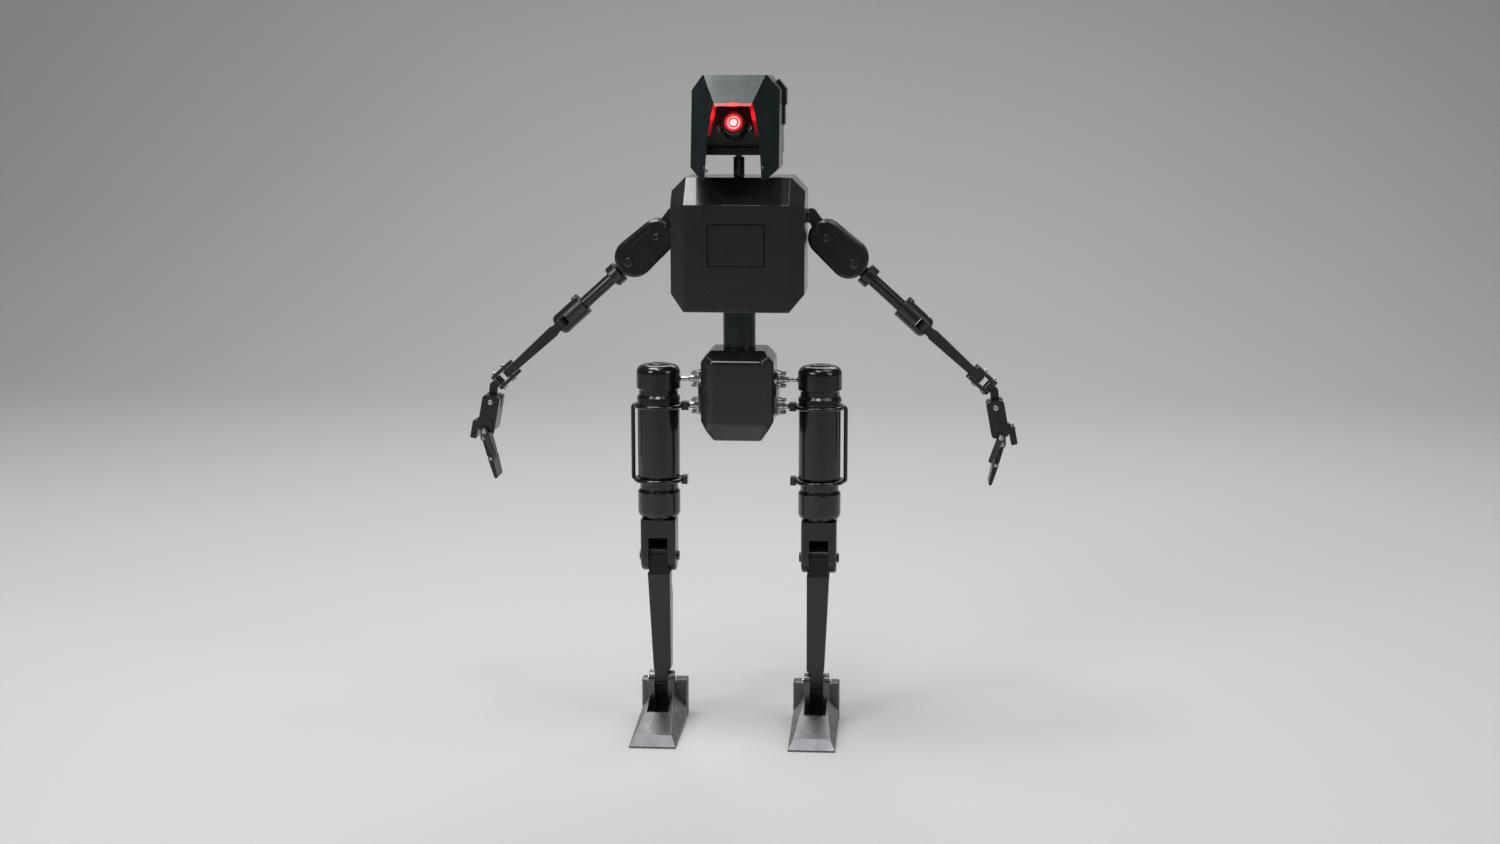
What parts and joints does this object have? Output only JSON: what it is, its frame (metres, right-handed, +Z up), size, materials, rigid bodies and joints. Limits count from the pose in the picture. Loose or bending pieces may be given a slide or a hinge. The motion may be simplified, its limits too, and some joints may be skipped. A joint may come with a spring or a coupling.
{
  "type": "humanoid robot kit",
  "caption": "Free-standing humanoid robot kit with a hooded single-eye head, faceted torso and pelvis, jointed arms and hands, and jointed legs on wedge feet.",
  "frame": {"origin": "on the floor, in the middle of the footprint", "axes": "+Z up, the robot faces -Y, its own left is +X"},
  "size_m": [0.5124, 0.144, 0.6],
  "materials": {
    "shell_graphite": "satin",
    "hood_teal": "satin",
    "limb_black": "satin",
    "thigh_black": "gloss",
    "pelvis_black": "gloss",
    "tube_metal": "satin",
    "bright_steel": "brushed",
    "foot_metal": "brushed",
    "head_frame": "satin",
    "red_light": "gloss",
    "eye_core": "gloss",
    "board_green": "satin",
    "battery_blue": "satin"
  },
  "bodies": {
    "pelvis": {"pelvis_housing": "pelvis_black", "waist_column": "hood_teal"},
    "torso": {"torso_front_shell": "shell_graphite", "torso_back_shell": "shell_graphite", "chest_panel": "shell_graphite", "battery_pack": "battery_blue", "control_board": "board_green"},
    "neck": {"neck_post": "tube_metal"},
    "head": {"head_hood": "hood_teal", "left_ear_plate": "hood_teal", "right_ear_plate": "hood_teal", "head_tray": "head_frame", "sensor_block": "head_frame", "brow_light": "red_light"},
    "eye": {"eye_barrel": "head_frame", "eye_ring": "red_light", "eye_lens": "eye_core"},
    "left_shoulder": {"left_shoulder_bracket": "bright_steel"},
    "left_upper_arm": {"left_shoulder_case_front": "limb_black", "left_shoulder_case_back": "limb_black", "left_shoulder_case_pins": "limb_black"},
    "left_arm_tube": {"left_arm_tube": "tube_metal"},
    "left_arm_sleeve": {"left_arm_sleeve": "tube_metal"},
    "left_forearm": {"left_forearm_blade": "limb_black", "left_wrist_clevis": "bright_steel"},
    "left_wrist": {"left_wrist_link": "limb_black"},
    "left_palm": {"left_palm": "limb_black", "left_knuckle_block": "limb_black"},
    "left_fingers": {"left_finger_roots": "limb_black"},
    "left_fingertips": {"left_finger_tips": "limb_black"},
    "left_thumb": {"left_thumb": "bright_steel"},
    "left_thigh": {"left_hip_plate": "bright_steel", "left_thigh_barrel": "thigh_black", "left_thigh_cage": "thigh_black", "left_knee_clevis": "limb_black"},
    "left_shin": {"left_shin": "limb_black"},
    "left_foot": {"left_foot": "foot_metal", "left_heel_block": "foot_metal"},
    "right_shoulder": {"right_shoulder_bracket": "bright_steel"},
    "right_upper_arm": {"right_shoulder_case_front": "limb_black", "right_shoulder_case_back": "limb_black", "right_shoulder_case_pins": "limb_black"},
    "right_arm_tube": {"right_arm_tube": "tube_metal"},
    "right_arm_sleeve": {"right_arm_sleeve": "tube_metal"},
    "right_forearm": {"right_forearm_blade": "limb_black", "right_wrist_clevis": "bright_steel"},
    "right_wrist": {"right_wrist_link": "limb_black"},
    "right_palm": {"right_palm": "limb_black", "right_knuckle_block": "limb_black"},
    "right_fingers": {"right_finger_roots": "limb_black"},
    "right_fingertips": {"right_finger_tips": "limb_black"},
    "right_thumb": {"right_thumb": "bright_steel"},
    "right_thigh": {"right_hip_plate": "bright_steel", "right_thigh_barrel": "thigh_black", "right_thigh_cage": "thigh_black", "right_knee_clevis": "limb_black"},
    "right_shin": {"right_shin": "limb_black"},
    "right_foot": {"right_foot": "foot_metal", "right_heel_block": "foot_metal"}
  },
  "joints": [
    {"name": "waist_yaw", "type": "hinge", "parent": "pelvis", "child": "torso", "pos_m": [0, 0.021, 0.39], "axis": [0, 0, 1], "range_deg": [-45, 45]},
    {"name": "neck_yaw", "type": "hinge", "parent": "torso", "child": "neck", "pos_m": [0, 0.018, 0.5095], "axis": [0, 0, 1], "range_deg": [-30, 30]},
    {"name": "head_nod", "type": "hinge", "parent": "neck", "child": "head", "pos_m": [0, 0.018, 0.5355], "axis": [1, 0, 0], "range_deg": [-12, 6]},
    {"name": "eye_tilt", "type": "hinge", "parent": "head", "child": "eye", "pos_m": [0, -0.0287, 0.5551], "axis": [1, 0, 0], "range_deg": [-8, 25]},
    {"name": "left_shoulder_swing", "type": "hinge", "parent": "torso", "child": "left_shoulder", "pos_m": [0.062, 0.05, 0.473], "axis": [-1, 0, 0], "range_deg": [-45, 110]},
    {"name": "left_shoulder_lift", "type": "hinge", "parent": "left_shoulder", "child": "left_upper_arm", "pos_m": [0.0778, 0.05, 0.4531], "axis": [0, -1, 0], "range_deg": [-20, 80]},
    {"name": "left_arm_pivot", "type": "hinge", "parent": "left_upper_arm", "child": "left_arm_tube", "pos_m": [0.10392, 0.05, 0.4295], "axis": [0, -1, 0], "range_deg": [-28, 28]},
    {"name": "left_arm_twist", "type": "hinge", "parent": "left_arm_tube", "child": "left_arm_sleeve", "pos_m": [0.15348, 0.05, 0.38472], "axis": [0.742, 0, -0.6704], "range_deg": [-90, 90]},
    {"name": "left_elbow", "type": "hinge", "parent": "left_arm_sleeve", "child": "left_forearm", "pos_m": [0.16743, 0.05, 0.37211], "axis": [-0.6704, 0, -0.742], "range_deg": [0, 100]},
    {"name": "left_wrist_flex", "type": "hinge", "parent": "left_forearm", "child": "left_wrist", "pos_m": [0.22901, 0.05, 0.31647], "axis": [-0.6704, 0, -0.742], "range_deg": [-60, 60]},
    {"name": "left_wrist_tilt", "type": "hinge", "parent": "left_wrist", "child": "left_palm", "pos_m": [0.2355, 0.05, 0.2977], "axis": [0, 1, 0], "range_deg": [-30, 50]},
    {"name": "left_knuckle", "type": "hinge", "parent": "left_palm", "child": "left_fingers", "pos_m": [0.2418, 0.05, 0.2642], "axis": [0, 1, 0], "range_deg": [-20, 70]},
    {"name": "left_fingertip", "type": "hinge", "parent": "left_fingers", "child": "left_fingertips", "pos_m": [0.23636, 0.05, 0.24392], "axis": [0, 1, 0], "range_deg": [-20, 60]},
    {"name": "left_thumb_fold", "type": "hinge", "parent": "left_palm", "child": "left_thumb", "pos_m": [0.2404, 0.05, 0.2712], "axis": [0, 1, 0], "range_deg": [-15, 40]},
    {"name": "left_hip", "type": "hinge", "parent": "pelvis", "child": "left_thigh", "pos_m": [0.0332, 0.016, 0.313], "axis": [-1, 0, 0], "range_deg": [-25, 90]},
    {"name": "left_knee", "type": "hinge", "parent": "left_thigh", "child": "left_shin", "pos_m": [0.0743, 0.016, 0.159], "axis": [1, 0, 0], "range_deg": [0, 90]},
    {"name": "left_ankle", "type": "hinge", "parent": "left_shin", "child": "left_foot", "pos_m": [0.0728, 0.016, 0.04], "axis": [1, 0, 0], "range_deg": [-25, 30]},
    {"name": "right_shoulder_swing", "type": "hinge", "parent": "torso", "child": "right_shoulder", "pos_m": [-0.062, 0.05, 0.473], "axis": [-1, 0, 0], "range_deg": [-45, 110]},
    {"name": "right_shoulder_lift", "type": "hinge", "parent": "right_shoulder", "child": "right_upper_arm", "pos_m": [-0.0778, 0.05, 0.4531], "axis": [0, 1, 0], "range_deg": [-20, 80]},
    {"name": "right_arm_pivot", "type": "hinge", "parent": "right_upper_arm", "child": "right_arm_tube", "pos_m": [-0.10392, 0.05, 0.4295], "axis": [0, 1, 0], "range_deg": [-28, 28]},
    {"name": "right_arm_twist", "type": "hinge", "parent": "right_arm_tube", "child": "right_arm_sleeve", "pos_m": [-0.15348, 0.05, 0.38472], "axis": [0.742, 0, 0.6704], "range_deg": [-90, 90]},
    {"name": "right_elbow", "type": "hinge", "parent": "right_arm_sleeve", "child": "right_forearm", "pos_m": [-0.16743, 0.05, 0.37211], "axis": [-0.6704, 0, 0.742], "range_deg": [0, 100]},
    {"name": "right_wrist_flex", "type": "hinge", "parent": "right_forearm", "child": "right_wrist", "pos_m": [-0.22901, 0.05, 0.31647], "axis": [-0.6704, 0, 0.742], "range_deg": [-60, 60]},
    {"name": "right_wrist_tilt", "type": "hinge", "parent": "right_wrist", "child": "right_palm", "pos_m": [-0.2355, 0.05, 0.2977], "axis": [0, -1, 0], "range_deg": [-30, 50]},
    {"name": "right_knuckle", "type": "hinge", "parent": "right_palm", "child": "right_fingers", "pos_m": [-0.2418, 0.05, 0.2642], "axis": [0, -1, 0], "range_deg": [-20, 70]},
    {"name": "right_fingertip", "type": "hinge", "parent": "right_fingers", "child": "right_fingertips", "pos_m": [-0.23636, 0.05, 0.24392], "axis": [0, -1, 0], "range_deg": [-20, 60]},
    {"name": "right_thumb_fold", "type": "hinge", "parent": "right_palm", "child": "right_thumb", "pos_m": [-0.2404, 0.05, 0.2712], "axis": [0, -1, 0], "range_deg": [-15, 40]},
    {"name": "right_hip", "type": "hinge", "parent": "pelvis", "child": "right_thigh", "pos_m": [-0.0332, 0.016, 0.313], "axis": [-1, 0, 0], "range_deg": [-25, 90]},
    {"name": "right_knee", "type": "hinge", "parent": "right_thigh", "child": "right_shin", "pos_m": [-0.0743, 0.016, 0.159], "axis": [1, 0, 0], "range_deg": [0, 90]},
    {"name": "right_ankle", "type": "hinge", "parent": "right_shin", "child": "right_foot", "pos_m": [-0.0728, 0.016, 0.04], "axis": [1, 0, 0], "range_deg": [-25, 30]}
  ],
  "couplings": [
    {"joint": "left_fingertip", "follows": "left_knuckle", "ratio": 0.8},
    {"joint": "right_fingertip", "follows": "right_knuckle", "ratio": 0.8}
  ]
}
